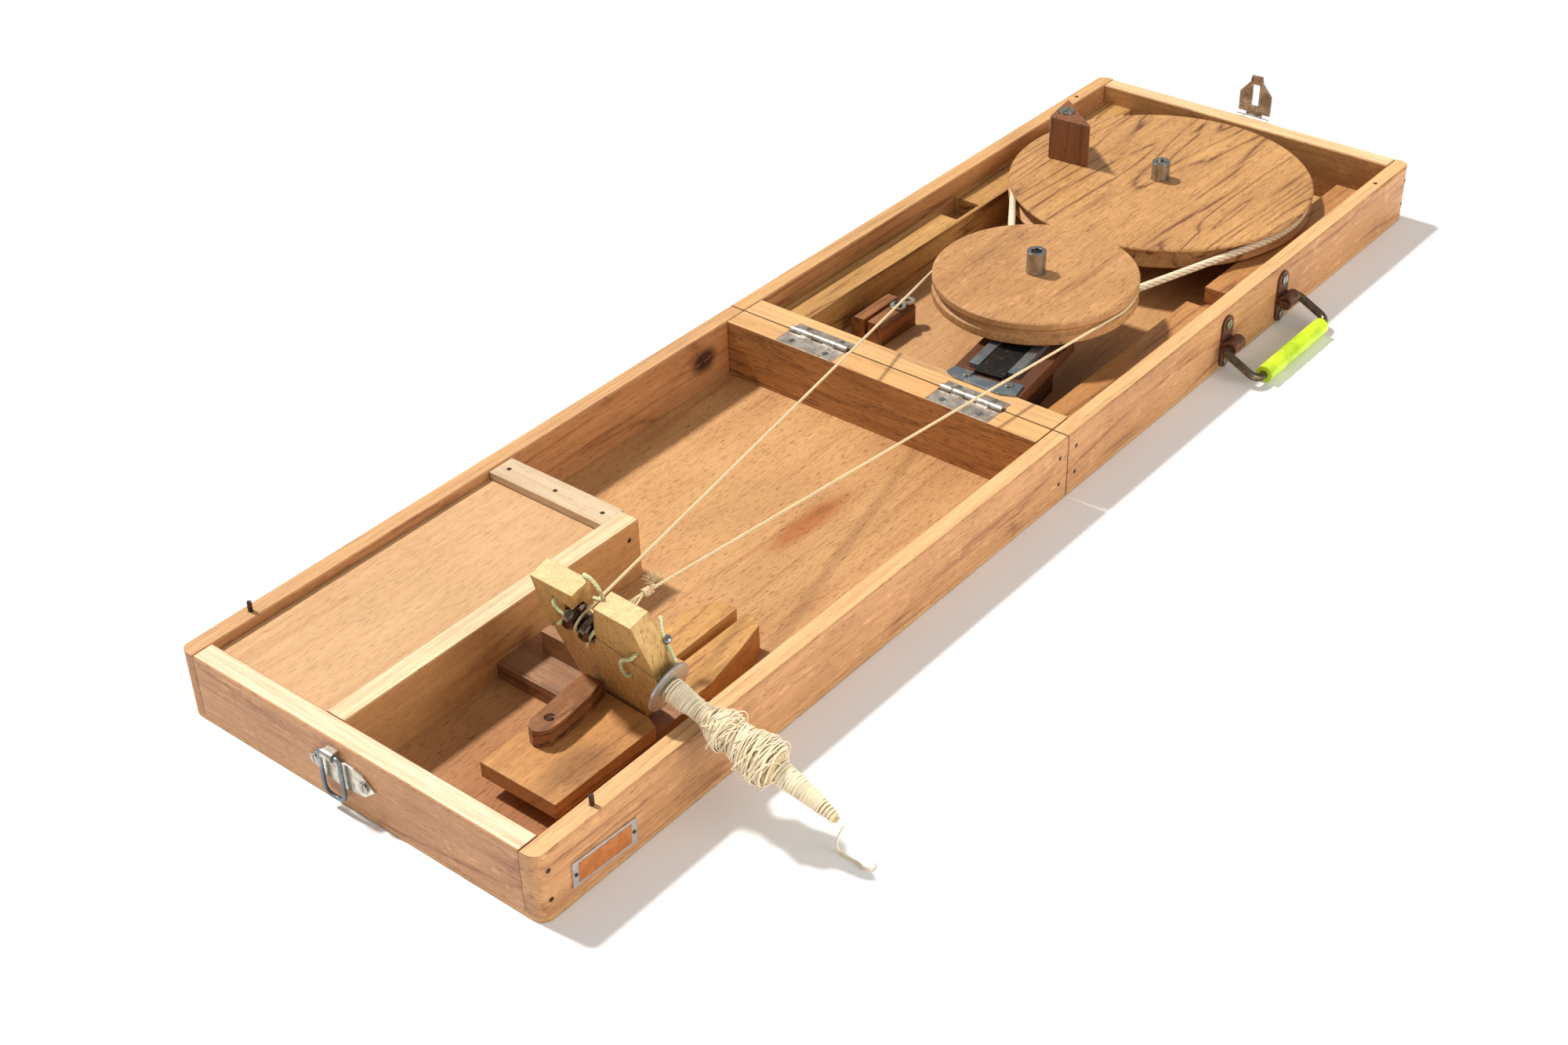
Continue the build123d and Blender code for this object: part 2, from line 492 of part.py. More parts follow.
# String ties: short cords through the holes that hold the bearings in the saw cut.
tie_solids = []
for s, w in TIE_HOLES:
    tie_solids.append(rod(on_holder(s, -1.6, w), on_holder(s, HOLDER_THICK + 1.6, w), 1.2))
eye_pin = rod(on_holder(37.5, 13.6, 42), on_holder(40.5, 13.6, 53.5), 1.0)
save("holder_ties", *tie_solids, eye_pin)

# ---- spindle: rod, whorl, disc, yarn ----------------------------------------------------
ROD_R = 1.5
tip = WHORL_AT + SPINDLE_DIR * 127
spindle_rod = rod(WHORL_AT - SPINDLE_DIR * 11, tip, ROD_R)
save("spindle_rod", spindle_rod)
whorl_profile = [
    (ROD_R, -7.5), (6.5, -7.5), (7.6, -6.4), (7.6, -3.6), (4.3, -1.2), (4.3, 1.2), (7.6, 3.6),
    (7.6, 6.4), (6.5, 7.5), (ROD_R, 7.5),
]
save("whorl", turned(whorl_profile, WHORL_AT, SPINDLE_DIR))
DISC_AT = 53.0
washer_profile = [(ROD_R, 50.5), (5.5, 50.5), (5.5, 51.6), (ROD_R, 51.6)]
washer = turned(washer_profile, WHORL_AT, SPINDLE_DIR)
disc_profile = [(ROD_R, 51.9), (13.4, 51.9), (13.4, DISC_AT), (ROD_R, DISC_AT)]
save("spindle_disc", turned(disc_profile, WHORL_AT, SPINDLE_DIR), washer)
cop_profile = [
    (ROD_R, 53.3), (5.8, 53.3), (5.5, 60), (4.7, 72), (5.6, 80), (8.6, 86), (9.2, 90), (8.0, 94), (8.8, 99),
    (11.2, 105), (11.4, 111), (10.2, 116), (6.6, 121), (5.6, 128), (5.2, 135), (4.7, 142),
    (3.0, 148), (1.5, 150), (0, 150), (0, 127.2), (ROD_R, 127.2),
]
save("cop", turned(cop_profile, WHORL_AT, SPINDLE_DIR))
tail_points = [
    (-303.6, -200.5, 25.0), (-300.0, -194.0, 13.0), (-298.2, -191.0, 1.0),
    (-299.2, -198.0, 0.7), (-298.4, -204.0, 0.7), (-300.8, -209.0, 0.7), (-297.0, -212.5, 0.7),
    (-293.8, -209.0, 0.7),
]
tail_radii = []
for a, b, c in zip(tail_points, tail_points[1:], tail_points[2:]):
    u, v = Vector(*b) - Vector(*a), Vector(*c) - Vector(*b)
    half_turn = math.radians(u.get_angle(v)) / 2
    tail_radii.append(0.45 * min(u.length, v.length) / math.tan(half_turn))
print("tail radii", [round(r, 2) for r in tail_radii])
tail_path = FilletPolyline(*tail_points, radius=tail_radii).wires()[0]
tail = sweep(Plane(origin=tail_path @ 0, z_dir=tail_path % 0) * Circle(TAIL_R), path=tail_path)
print("tail length", round(tail_path.length, 1), "volume", round(tail.volume, 1),
      "section times length", round(math.pi * TAIL_R ** 2 * tail_path.length, 1))
save("yarn_tail", tail)

# ---- keeper on the near end ---------------------------------------------------------------
keeper_outline = [
    (-17.5, 22), (-10, 15.5), (5, 13.5), (20, 15.5), (27.5, 22), (20, 28.0), (14, 29.5), (-4, 29.5), (-10, 28),
]
keeper_face = make_face(Polyline(*[(-HALF_LENGTH, y, z) for y, z in keeper_outline], close=True))
keeper = extrude(keeper_face, amount=1.2, dir=(-1, 0, 0))
LOOP_X, LOOP_Z = -HALF_LENGTH - 3.2, 32.0
keeper = keeper + box(-HALF_LENGTH - 1.2, -HALF_LENGTH, 6, 13, 28, LOOP_Z + 1)
keeper = keeper + box(LOOP_X, -HALF_LENGTH, 6, 13, LOOP_Z + 1.3, LOOP_Z + 2.4)
keeper = keeper + rod((LOOP_X, 6, LOOP_Z), (LOOP_X, 13, LOOP_Z), 2.4)
keeper = keeper - rod((LOOP_X, 5, LOOP_Z), (LOOP_X, 14, LOOP_Z), 1.2)
save("keeper_plate", keeper - keeper_screws)
loop_points = [
    (LOOP_X, 9.0, LOOP_Z), (LOOP_X, 2.5, LOOP_Z), (LOOP_X, 2.5, 6.5), (LOOP_X, 16.5, 6.5),
    (LOOP_X, 16.5, LOOP_Z), (LOOP_X, 10.0, LOOP_Z),
]
loop_path = FilletPolyline(*loop_points, radius=[2, 5, 5, 2]).wires()[0]
loop = sweep(Plane(origin=loop_path @ 0, z_dir=loop_path % 0) * Circle(1.1), path=loop_path)
save("keeper_loop", loop)

# ---- remaining fasteners --------------------------------------------------------------------
wheel_screws = [
    slotted(b, (x, y, RIM - 0.9), (0, 0, -1), 2.2) for b, (x, y) in zip(leaf_screws[1], leaf_screw_spots[1])
]
save("wheel_case_screws", *wheel_screws, *plate_screws, *hasp_screws, *bracket_heads)
spindle_screws = [
    slotted(b, (x, y, RIM - 0.9), (0, 0, -1), 2.2) for b, (x, y) in zip(leaf_screws[-1], leaf_screw_spots[-1])
]
end_screws = [
    slotted(b, (-HALF_LENGTH - 1.2, y, z), (1, 0, 0), 2.9) for b, (y, z) in zip(keeper_screws, keeper_screw_spots)
]
save("spindle_case_screws", *spindle_screws, *end_screws)
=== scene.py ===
import bpy
import math
import random
from mathutils import Matrix, Vector


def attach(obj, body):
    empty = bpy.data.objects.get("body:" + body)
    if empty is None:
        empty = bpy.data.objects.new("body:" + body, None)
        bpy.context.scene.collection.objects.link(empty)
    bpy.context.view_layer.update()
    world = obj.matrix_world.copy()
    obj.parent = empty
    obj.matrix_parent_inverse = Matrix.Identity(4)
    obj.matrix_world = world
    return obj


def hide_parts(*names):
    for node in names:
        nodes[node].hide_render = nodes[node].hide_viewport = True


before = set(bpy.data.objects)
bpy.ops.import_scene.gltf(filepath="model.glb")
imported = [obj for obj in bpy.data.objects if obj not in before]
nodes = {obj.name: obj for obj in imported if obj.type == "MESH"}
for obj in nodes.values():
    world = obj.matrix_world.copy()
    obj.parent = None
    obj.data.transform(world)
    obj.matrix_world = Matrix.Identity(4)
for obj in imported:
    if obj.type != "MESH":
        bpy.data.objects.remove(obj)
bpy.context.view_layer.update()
random.seed(7)
ORIGIN_X = 294.5


def P(x, y, z):
    """Case coordinates in millimetres to the row frame in metres."""
    return Vector(((x - ORIGIN_X) / 1000, y / 1000, z / 1000))


# ---- material helpers ---------------------------------------------------------------
def srgb(r, g, b):
    out = []
    for c in (r, g, b):
        c = c / 255
        out.append(c / 12.92 if c <= 0.04045 else ((c + 0.055) / 1.055) ** 2.4)
    return (*out, 1.0)


class Graph:
    def __init__(self, name):
        self.mat = bpy.data.materials.new(name)
        self.mat.use_nodes = True
        self.t = self.mat.node_tree
        self.bsdf = self.t.nodes["Principled BSDF"]
        self.coord = self.t.nodes.new("ShaderNodeTexCoord").outputs["Object"]

    def node(self, kind, **props):
        n = self.t.nodes.new(kind)
        for k, v in props.items():
            setattr(n, k, v)
        return n

    def link(self, a, b):
        self.t.links.new(a, b)

    def mapped(self, scale, offset=(0, 0, 0), turn=(0, 0, 0)):
        m = self.node("ShaderNodeMapping")
        m.inputs["Scale"].default_value = scale
        m.inputs["Location"].default_value = offset
        m.inputs["Rotation"].default_value = turn
        self.link(self.coord, m.inputs["Vector"])
        return m.outputs["Vector"]

    def noise(self, vector, scale=1.0, detail=4.0, rough=0.55, warp=0.0):
        n = self.node("ShaderNodeTexNoise")
        n.inputs["Scale"].default_value = scale
        n.inputs["Detail"].default_value = detail
        n.inputs["Roughness"].default_value = rough
        n.inputs["Distortion"].default_value = warp
        self.link(vector, n.inputs["Vector"])
        return n.outputs["Fac"]

    def ramp(self, value, stops):
        r = self.node("ShaderNodeValToRGB")
        e = r.color_ramp.elements
        while len(e) < len(stops):
            e.new(0.5)
        for item, (pos, col) in zip(e, stops):
            item.position = pos
            item.color = col if isinstance(col, tuple) else (col, col, col, 1)
        self.link(value, r.inputs["Fac"])
        return r.outputs["Color"]

    def math(self, op, a, b=None, c=None):
        m = self.node("ShaderNodeMath", operation=op)
        for i, v in enumerate((a, b, c)):
            if v is None:
                continue
            if isinstance(v, (int, float)):
                m.inputs[i].default_value = v
            else:
                self.link(v, m.inputs[i])
        return m.outputs[0]

    def mix(self, fac, a, b, mode="MIX"):
        m = self.node("ShaderNodeMix", data_type="RGBA", blend_type=mode)
        for sock, v in ((m.inputs[0], fac), (m.inputs[6], a), (m.inputs[7], b)):
            if isinstance(v, (int, float)):
                sock.default_value = v
            elif isinstance(v, tuple):
                sock.default_value = v
            else:
                self.link(v, sock)
        return m.outputs[2]

    def bump(self, height, strength, distance, bevel=0.0):
        b = self.node("ShaderNodeBump")
        b.inputs["Strength"].default_value = strength
        b.inputs["Distance"].default_value = distance
        self.link(height, b.inputs["Height"])
        if bevel:
            v = self.node("ShaderNodeBevel", samples=4)
            v.inputs["Radius"].default_value = bevel
            self.link(v.outputs["Normal"], b.inputs["Normal"])
        self.link(b.outputs["Normal"], self.bsdf.inputs["Normal"])


AXIS = {"X": 0, "Y": 1, "Z": 2}


def stretch(axis, along, across):
    out = [across, across, across]
    out[AXIS[axis]] = along
    return tuple(out)


def wood(name, light, dark, axis="X", offset=0.0, rings=9.0, ring_amount=0.35, pores=0.35,
         rough=0.5, stains_and_shade=None, wear=0.0, turn=(0, 0, 0), bevel=0.0009, blotch=0.25, coarse_scale=1.0,
         top=None):
    g = Graph(name)
    off = (offset, offset * 1.7, offset * 0.6)
    broad = g.noise(g.mapped(stretch(axis, 2.2 * coarse_scale, 22 * coarse_scale), off, turn),
                    1.0, 2.0, 0.45, 0.3)
    fine = g.noise(g.mapped(stretch(axis, 28, 820), off, turn), 1.0, 5.0, 0.7, 0.2)
    streak = g.noise(g.mapped(stretch(axis, 11, 270), off, turn), 1.0, 5.0, 0.65, 0.4)
    pore = g.noise(g.mapped(stretch(axis, 170, 1500), off, turn), 1.0, 2.0, 0.5)
    cloud = g.noise(g.mapped((13, 13, 13), off), 1.0, 4.0, 0.55)
    ring = g.math("PINGPONG", g.math("MULTIPLY_ADD", fine, 0.25, g.math("MULTIPLY", broad, rings)), 0.5)
    ring = g.math("POWER", g.math("MULTIPLY", ring, 2.0), 6.0)
    ring = g.math("MULTIPLY", ring, g.ramp(streak, [(0.3, 0.35), (0.6, 1.0)]))
    tone = g.math("MULTIPLY_ADD", ring, ring_amount, g.math("MULTIPLY", streak, 0.62))
    tone = g.math("MULTIPLY_ADD", fine, 0.45, tone)
    mid = tuple(a * 0.62 + b * 0.38 for a, b in zip(light, dark))
    color = g.ramp(tone, [(0.36, light), (0.62, mid), (0.95, dark)])
    shade = g.ramp(cloud, [(0.3, tuple(1.0 - blotch * k for k in (0.8, 1.0, 1.2)) + (1,)), (0.68, 1.0)])
    color = g.mix(1.0, color, shade, "MULTIPLY")
    holes = g.ramp(pore, [(0.33, tuple(1.0 - pores * k for k in (0.9, 1.1, 1.3)) + (1,)), (0.42, 1.0)])
    color = g.mix(1.0, color, holes, "MULTIPLY")
    # top mixes a paler colour onto upward-facing faces: painted top light, broken into patches that also
    # stand for wear.
    if top:
        facing = g.node("ShaderNodeSeparateXYZ")
        g.link(g.node("ShaderNodeTexCoord").outputs["Normal"], facing.inputs[0])
        up = g.ramp(facing.outputs["Z"], [(0.75, 0.0), (0.95, 1.0)])
        top_light_and_wear = g.math("MULTIPLY_ADD", fine, 0.5, g.math("MULTIPLY", streak, 0.5))
        top_light_and_wear = g.ramp(top_light_and_wear, [(0.36, 1.0), (0.66, 0.25)])
        color = g.mix(g.mix(1.0, up, top_light_and_wear, "MULTIPLY"), color, top)
    # Each listed spot multiplies the colour darker around a point; the large spot on floor_near is painted
    # shadow under the spindle plank.
    for where, radius, col, amount in stains_and_shade or ():
        sub = g.node("ShaderNodeVectorMath", operation="SUBTRACT")
        g.link(g.coord, sub.inputs[0])
        sub.inputs[1].default_value = where
        scaled = g.node("ShaderNodeVectorMath", operation="DIVIDE")
        g.link(sub.outputs["Vector"], scaled.inputs[0])
        scaled.inputs[1].default_value = radius
        size = g.node("ShaderNodeVectorMath", operation="LENGTH")
        g.link(scaled.outputs["Vector"], size.inputs[0])
        wobble = g.math("MULTIPLY_ADD", streak, 0.7, size.outputs["Value"])
        mask = g.ramp(g.math("MULTIPLY", wobble, 0.5), [(0.45, amount), (0.78, 0.0)])
        color = g.mix(mask, color, col, "MULTIPLY")
    if wear:
        scuff = g.noise(g.mapped((90, 90, 90), off), 1.0, 6.0, 0.7)
        scratch = g.noise(g.mapped(stretch(axis, 40, 380), off, (0.05, 0.08, 0.1)), 1.0, 4.0, 0.7)
        mask = g.ramp(g.math("MULTIPLY", scuff, scratch), [(0.29, 0.0), (0.40, wear)])
        color = g.mix(mask, color, tuple(min(1, c * 1.25 + 0.02) for c in light[:3]) + (1,))
        dirt = g.noise(g.mapped(stretch(axis, 90, 260), (offset, 2, 1)), 1.0, 5.0, 0.75)
        color = g.mix(g.ramp(dirt, [(0.66, 0.0), (0.76, 0.7)]), color, srgb(96, 58, 34), "MULTIPLY")
    g.link(color, g.bsdf.inputs["Base Color"])
    g.link(g.math("MULTIPLY_ADD", fine, 0.25, rough - 0.1), g.bsdf.inputs["Roughness"])
    height = g.math("MULTIPLY_ADD", g.ramp(pore, [(0.3, 0.0), (0.45, 1.0)]), 0.6, fine)
    height = g.math("MULTIPLY_ADD", cloud, 0.8, height)
    g.bump(height, 0.45, 0.0004, bevel)
    return g.mat


def metal(name, color, rough=0.35, metallic=1.0, mottle=None, mottle_scale=90, rust=None,
          rust_amount=0.4, bevel=0.0004):
    g = Graph(name)
    cloud = g.noise(g.mapped((mottle_scale,) * 3), 1.0, 5.0, 0.6, 0.4)
    grit = g.noise(g.mapped((900, 900, 900)), 1.0, 3.0, 0.6)
    base = color
    if mottle:
        base = g.mix(g.ramp(cloud, [(0.4, 0.0), (0.6, 1.0)]), color, mottle)
    if rust:
        spots = g.noise(g.mapped((240, 240, 240), (3, 1, 2)), 1.0, 6.0, 0.7)
        mask = g.ramp(spots, [(0.62 - 0.3 * rust_amount, 0.0), (0.72 - 0.2 * rust_amount, 1.0)])
        base = g.mix(mask, base, rust)
        g.link(g.math("MULTIPLY", g.math("SUBTRACT", 1.0, mask), metallic), g.bsdf.inputs["Metallic"])
    else:
        g.bsdf.inputs["Metallic"].default_value = metallic
    if isinstance(base, tuple):
        darker = tuple(c * 0.8 for c in color[:3]) + (1,)
        base = g.mix(g.ramp(grit, [(0.3, 0.85), (0.7, 1.0)]), darker, color)
    g.link(base, g.bsdf.inputs["Base Color"])
    g.link(g.math("MULTIPLY_ADD", cloud, 0.3, rough - 0.15), g.bsdf.inputs["Roughness"])
    g.bump(grit, 0.15, 0.0001, bevel)
    return g.mat


def fibre(name, light, dark, scale=2600, twist=None, rough=0.9):
    g = Graph(name)
    grain = g.noise(g.mapped((scale, scale, scale * 0.4)), 1.0, 3.0, 0.6)
    if twist:
        wave = g.node("ShaderNodeTexWave", wave_type="BANDS", bands_direction="DIAGONAL")
        wave.inputs["Scale"].default_value = twist
        wave.inputs["Distortion"].default_value = 1.5
        g.link(g.coord, wave.inputs["Vector"])
        grain = g.math("MULTIPLY_ADD", wave.outputs["Fac"], 0.6, g.math("MULTIPLY", grain, 0.5))
    cloud = g.noise(g.mapped((120, 120, 120)), 1.0, 3.0, 0.5)
    color = g.ramp(g.math("MULTIPLY_ADD", cloud, 0.4, g.math("MULTIPLY", grain, 0.7)),
                   [(0.25, dark), (0.75, light)])
    g.link(color, g.bsdf.inputs["Base Color"])
    g.bsdf.inputs["Roughness"].default_value = rough
    g.bsdf.inputs["Sheen Weight"].default_value = 0.3
    g.bump(grain, 0.6, 0.0003)
    return g.mat


def plastic(name, light, dark, rough=0.35):
    g = Graph(name)
    cloud = g.noise(g.mapped((60, 60, 60)), 1.0, 4.0, 0.5)
    grit = g.noise(g.mapped((1200, 1200, 1200)), 1.0, 2.0, 0.5)
    g.link(g.ramp(cloud, [(0.35, dark), (0.6, light)]), g.bsdf.inputs["Base Color"])
    g.link(g.math("MULTIPLY_ADD", cloud, 0.25, rough - 0.1), g.bsdf.inputs["Roughness"])
    g.bump(grit, 0.12, 0.0001, 0.0003)
    return g.mat


# ---- materials of every node ----------------------------------------------------------
TEAK_L, TEAK_D = srgb(214, 160, 106), srgb(140, 86, 48)
PALE_L, PALE_D = srgb(220, 186, 138), srgb(184, 134, 84)


def give(mat, *names):
    for n in names:
        node = nodes[n]
        node.data.materials.clear()
        node.data.materials.append(mat)


# The top= colours are painted top light on upward faces, paler where the key lamp falls, partly also wear.
give(wood("teak_side_a", TEAK_L, TEAK_D, "X", 0.3, rings=7, ring_amount=0.3, wear=0.5,
          top=srgb(226, 184, 130)), "spindle_case_right_board")
give(wood("teak_side_b", TEAK_L, TEAK_D, "X", 1.9, rings=8, ring_amount=0.35, wear=0.45,
          top=srgb(224, 182, 126)), "wheel_case_right_board")
give(wood("teak_side_c", srgb(202, 146, 94), TEAK_D, "X", 3.1, rings=10, ring_amount=0.4, wear=0.3,
          top=srgb(214, 168, 116),
          stains_and_shade=((P(-38, 109, 23), (0.011, 0.011, 0.008), srgb(70, 38, 20), 0.95),)),
     "spindle_case_left_board")
give(wood("teak_side_d", srgb(202, 146, 92), TEAK_D, "X", 4.4, rings=9, ring_amount=0.45, wear=0.3,
          top=srgb(214, 168, 112)), "wheel_case_left_board")
give(wood("teak_end_near", srgb(216, 162, 114), srgb(150, 94, 56), "Y", 5.2, rings=6, wear=0.5,
          top=srgb(248, 226, 190)),
     "spindle_case_end_board")
give(wood("teak_end_far", srgb(216, 164, 104), TEAK_D, "Y", 6.1, rings=6, wear=0.4,
          top=srgb(236, 206, 158)), "wheel_case_end_board")
give(wood("hinge_board_a", srgb(206, 148, 88), srgb(96, 54, 28), "Y", 7.3, rings=5,
          ring_amount=0.25, wear=0.4, coarse_scale=2.4, pores=0.6, top=srgb(222, 172, 110)),
     "spindle_case_hinge_board")
give(wood("hinge_board_b", srgb(212, 160, 104), srgb(120, 70, 36), "Y", 8.2, rings=4,
          ring_amount=0.2, wear=0.4, coarse_scale=2.4, top=srgb(226, 180, 120)),
     "wheel_case_hinge_board")
# floor_near: the large darkened spot around (-345, -60) is painted shadow on the floor under the spindle
# plank.
give(wood("floor_near", srgb(216, 168, 112), srgb(166, 110, 64), "X", 9.4, rings=5,
          ring_amount=0.2, pores=0.5,
          stains_and_shade=((P(-109, -25, 3), (0.034, 0.008, 0.0015), srgb(228, 184, 136), 0.9),
                 (P(-345, -60, 3), (0.09, 0.06, 0.0015), srgb(206, 168, 140), 0.8))), "spindle_case_floor")
give(wood("floor_far", srgb(216, 168, 114), srgb(170, 118, 72), "X", 10.6, rings=4,
          ring_amount=0.2, pores=0.3),
     "wheel_case_floor")
give(wood("cover_ply", srgb(216, 174, 126), srgb(180, 130, 84), "X", 11.2, rings=3, ring_amount=0.12,
          pores=0.25, blotch=0.08), "cover_panel")
give(wood("divider_pale", srgb(208, 160, 104), srgb(160, 106, 60), "X", 12.5, rings=6, ring_amount=0.4,
          wear=0.3, top=srgb(240, 218, 178)), "divider")
give(wood("slat_pale", srgb(224, 204, 172), PALE_D, "Y", 13.5, rings=4, ring_amount=0.2, pores=0.2),
     "compartment_slat", "compartment_end")
give(wood("left_rail_wood", srgb(213, 165, 98), srgb(126, 78, 36), "X", 14.5, rings=9, ring_amount=0.55),
     "left_rail")
give(wood("right_rail_wood", srgb(206, 148, 86), srgb(134, 82, 40), "X", 15.5, rings=8, wear=0.3),
          "right_rail")
give(wood("beam_dark", srgb(104, 58, 26), srgb(46, 24, 10), "X", 16.5, rings=6, wear=0.15, turn=(0,
          0, -0.13)),
     "tension_board", "tension_rib")
give(wood("block_dark", srgb(176, 114, 62), srgb(98, 56, 28), "X", 17.5, rings=5, wear=0.3),
     "storage_block", "axle_block")
give(wood("cross_mid", srgb(172, 124, 84), srgb(92, 58, 34), "Y", 18.5, rings=5, ring_amount=0.3,
          wear=0.5),
     "cross_block")
give(wood("plank_honey", srgb(212, 154, 90), srgb(132, 82, 38), "X", 19.5, rings=7,
          ring_amount=0.4, wear=0.35,
          stains_and_shade=((P(-345, -78, 26), (0.022, 0.012, 0.02), srgb(170, 160, 150), 0.6),)), "spindle_plank")
give(wood("fork_honey", srgb(222, 170, 100), srgb(150, 96, 46), "X", 20.5, rings=7, wear=0.3),
          "spindle_fork")
give(wood("button_wood", srgb(158, 104, 60), srgb(60, 34, 18), "X", 21.5, rings=9, ring_amount=0.6,
          wear=0.8,
          rough=0.4), "turn_button")
give(wood("knob_wood", srgb(148, 92, 52), srgb(80, 42, 20), "Z", 22.5, rings=5, wear=0.3, rough=0.42),
     "crank_knob")
give(wood("holder_wood", srgb(216, 176, 108), srgb(150, 102, 52), "Z", 23.5, rings=5, ring_amount=0.15,
          top=srgb(232, 200, 140), pores=0.6, turn=(0, 0.28, 0), wear=0.3), "spindle_holder")
give(wood("drive_wheel_wood", srgb(216, 164, 102), srgb(118, 70, 34), "X", 24.5, rings=14,
          ring_amount=0.5,
          coarse_scale=0.9, turn=(0, 0, 0.3), wear=0.3, pores=0.45), "drive_wheel")
give(wood("accelerator_wood", srgb(206, 154, 98), srgb(128, 82, 42), "X", 25.5, rings=5, ring_amount=0.25,
          turn=(0, 0, -0.3), wear=0.5, pores=0.45), "accelerator_wheel", "belt_pulley")

GALV = metal("galvanised", srgb(150, 158, 162), 0.45, 0.9, srgb(112, 122, 130), 110,
             srgb(96, 84, 70), 0.15)
BROWN = metal("rusted_brown", srgb(118, 78, 58), 0.5, 0.6, srgb(84, 52, 38), 160, srgb(98, 54, 32), 0.5)
LEAF = metal("worn_leaf", srgb(206, 198, 188), 0.42, 0.85, srgb(156, 144, 132), 110,
             srgb(116, 86, 64), 0.3)
STEEL = metal("drawn_steel", srgb(168, 168, 166), 0.3, 1.0, srgb(140, 140, 138), 200,
              srgb(110, 84, 60), 0.08)
GUN = metal("gunmetal", srgb(128, 112, 98), 0.22, 1.0, srgb(84, 72, 62), 200)
BAIL = metal("dull_steel", srgb(128, 112, 92), 0.35, 1.0, srgb(96, 82, 66), 200, srgb(96, 68, 44), 0.1)
ALU = metal("aluminium_sheet", srgb(216, 216, 218), 0.35, 1.0, srgb(196, 196, 198), 150)
NAIL = metal("nail_head", srgb(70, 60, 54), 0.5, 0.8, srgb(50, 40, 34), 600, srgb(84, 48, 28), 0.4)
BLACK = metal("black_iron", srgb(46, 44, 42), 0.5, 0.7, srgb(34, 32, 30), 150, srgb(80, 54, 36), 0.15)
BRIGHT = metal("screw_bright", srgb(190, 186, 178), 0.28, 1.0, srgb(150, 146, 140), 700,
               srgb(100, 76, 56), 0.12)
give(LEAF, "hinge_leaves_spindle", "hinge_leaves_wheel", "hasp")
SILVER = metal("pale_steel", srgb(214, 208, 196), 0.34, 1.0, srgb(176, 170, 158), 140,
               srgb(120, 96, 72), 0.12)
give(SILVER, "hasp_mount", "keeper_plate", "storage_clip")
give(GALV, "tension_end_plate", "channel_rails", "keeper_loop")
give(BROWN, "handle_brackets", "spindle_rod")
give(STEEL, "drive_axle", "drive_hub_tube", "accelerator_tube", "hinge_pins")
give(BAIL, "handle_bail")
give(NAIL, "wheel_case_nails", "spindle_case_nails")
give(BLACK, "slider_plate")
give(BRIGHT, "wheel_case_screws", "spindle_case_screws", "crank_screw")
give(GUN, "whorl")
give(ALU, "spindle_disc", "name_plate")
COTTON = fibre("cotton_cord", srgb(230, 210, 166), srgb(190, 160, 112), 2200, 330)
BELT = fibre("cotton_belt", srgb(240, 226, 196), srgb(170, 146, 108), 1500, 190)
WOOL = fibre("wool", srgb(248, 236, 208), srgb(226, 204, 162), 3200)
STRING = fibre("green_string", srgb(218, 220, 168), srgb(168, 168, 112), 2600, 420)
give(COTTON, "drive_cord")
give(BELT, "drive_belt")
give(WOOL, "cop", "yarn_tail")
give(STRING, "holder_ties")
give(plastic("lime_plastic", srgb(206, 232, 40), srgb(170, 200, 30), 0.3), "handle_grip")

# ---- camera, light and floor ---------------------------------------------------------------
cam_data = bpy.data.cameras.new("camera")
SENSOR_MM, LENS_MM = 36.0, 50.24
cam_data.sensor_width = SENSOR_MM
cam_data.lens = LENS_MM
cam_data.clip_start = 0.05
camera = bpy.data.objects.new("camera", cam_data)
right = Vector((0.62811373, -0.77777525, -0.02321228))
down = Vector((-0.46104457, -0.34796696, -0.81630686))
ahead = Vector((0.62682617, 0.52343544, -0.57715188))
turn = Matrix((right, -down, -ahead)).transposed()
camera.matrix_world = Matrix.Translation(P(-861.57, -636.55, 688.73)) @ turn.to_4x4()
bpy.context.scene.collection.objects.link(camera)
bpy.context.scene.camera = camera

world = bpy.data.worlds.new("world")
world.use_nodes = True
world.node_tree.nodes["Background"].inputs["Color"].default_value = (1.0, 0.99, 0.97, 1)
world.node_tree.nodes["Background"].inputs["Strength"].default_value = 0.42
bpy.context.scene.world = world


def lamp(name, kind, energy, place, target, size, color=(1, 1, 1)):
    data = bpy.data.lights.new(name, kind)
    data.energy = energy
    data.color = color
    if kind == "AREA":
        data.shape = "DISK"
        data.size = size
    else:
        data.angle = size
    o = bpy.data.objects.new(name, data)
    o.location = place
    o.rotation_euler = (target - place).to_track_quat("-Z", "Y").to_euler()
    bpy.context.scene.collection.objects.link(o)


lamp("key", "SUN", 4.0, Vector((-0.05, 0.71, 1.0)), Vector((0, 0, 0)), 0.09, (1, 0.975, 0.94))
lamp("fill", "AREA", 24, Vector((-0.3, -1.9, 0.6)), Vector((0, 0, 0)), 1.4, (1, 0.97, 0.93))

floor_mesh = bpy.data.meshes.new("floor")
floor_mesh.from_pydata([(-6, -6, 0), (6, -6, 0), (6, 6, 0), (-6, 6, 0)], [], [(0, 1, 2, 3)])
floor = bpy.data.objects.new("floor", floor_mesh)
floor.location = (0, 0, -0.0003)
bpy.context.scene.collection.objects.link(floor)
pale = Graph("pale_floor")
cloudy = pale.noise(pale.mapped((3, 3, 3)), 1.0, 2.0)
pale.link(pale.ramp(cloudy, [(0.3, (0.92, 0.92, 0.92, 1)), (0.7, (0.94, 0.94, 0.94, 1))]),
          pale.bsdf.inputs["Base Color"])
pale.bsdf.inputs["Roughness"].default_value = 0.8
floor_mesh.materials.append(pale.mat)

bpy.context.scene.view_settings.view_transform = "Standard"

